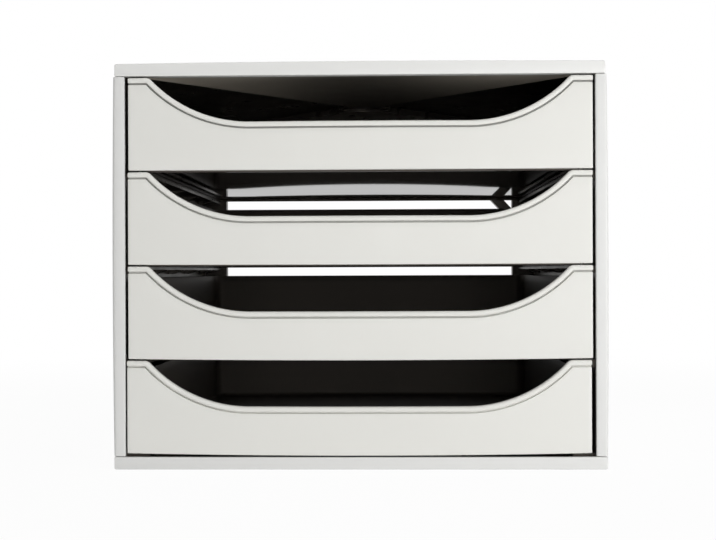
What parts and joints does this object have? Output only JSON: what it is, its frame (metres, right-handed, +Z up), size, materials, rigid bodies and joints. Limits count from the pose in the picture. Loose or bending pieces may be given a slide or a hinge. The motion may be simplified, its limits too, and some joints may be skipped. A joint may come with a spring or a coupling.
{
  "type": "desktop drawer unit",
  "caption": "Light grey desktop unit with sliding black paper trays, curved finger cut-outs and an open back.",
  "frame": {"origin": "centre of the footprint, on the surface that the feet stand on", "axes": "+X to the right seen from the front, -Y out of the drawer fronts, +Z up"},
  "size_m": [0.284, 0.348, 0.234],
  "materials": {
    "casing_light": "satin moulded plastic, light warm grey",
    "front_light": "satin moulded plastic, light warm grey",
    "roof_grey": "satin moulded plastic, shaded warm grey",
    "frame_black": "moulded black plastic, semi gloss",
    "tray_black": "polished black plastic",
    "foot_rubber": "dull dark rubber"
  },
  "bodies": {
    "casing": {"top_panel": "casing_light", "bottom_panel": "casing_light", "left_side_panel": "casing_light", "right_side_panel": "casing_light", "ceiling_plate": "roof_grey", "base_plate": "frame_black", "left_runner_frame": "frame_black", "right_runner_frame": "frame_black", "back_frame": "frame_black", "front_left_foot": "foot_rubber", "front_right_foot": "foot_rubber", "rear_left_foot": "foot_rubber", "rear_right_foot": "foot_rubber"},
    "drawer_1": {"drawer_1_tray": "tray_black", "drawer_1_front": "front_light"},
    "drawer_2": {"drawer_2_tray": "tray_black", "drawer_2_front": "front_light"},
    "drawer_3": {"drawer_3_tray": "tray_black", "drawer_3_front": "front_light"},
    "drawer_4": {"drawer_4_tray": "tray_black", "drawer_4_front": "front_light"}
  },
  "joints": [
    {"name": "drawer_1_slide", "type": "slide", "parent": "casing", "child": "drawer_1", "axis": [0, -1, 0], "range_m": [0, 0.25]},
    {"name": "drawer_2_slide", "type": "slide", "parent": "casing", "child": "drawer_2", "axis": [0, -1, 0], "range_m": [0, 0.25]},
    {"name": "drawer_3_slide", "type": "slide", "parent": "casing", "child": "drawer_3", "axis": [0, -1, 0], "range_m": [0, 0.25]},
    {"name": "drawer_4_slide", "type": "slide", "parent": "casing", "child": "drawer_4", "axis": [0, -1, 0], "range_m": [0, 0.25]}
  ]
}
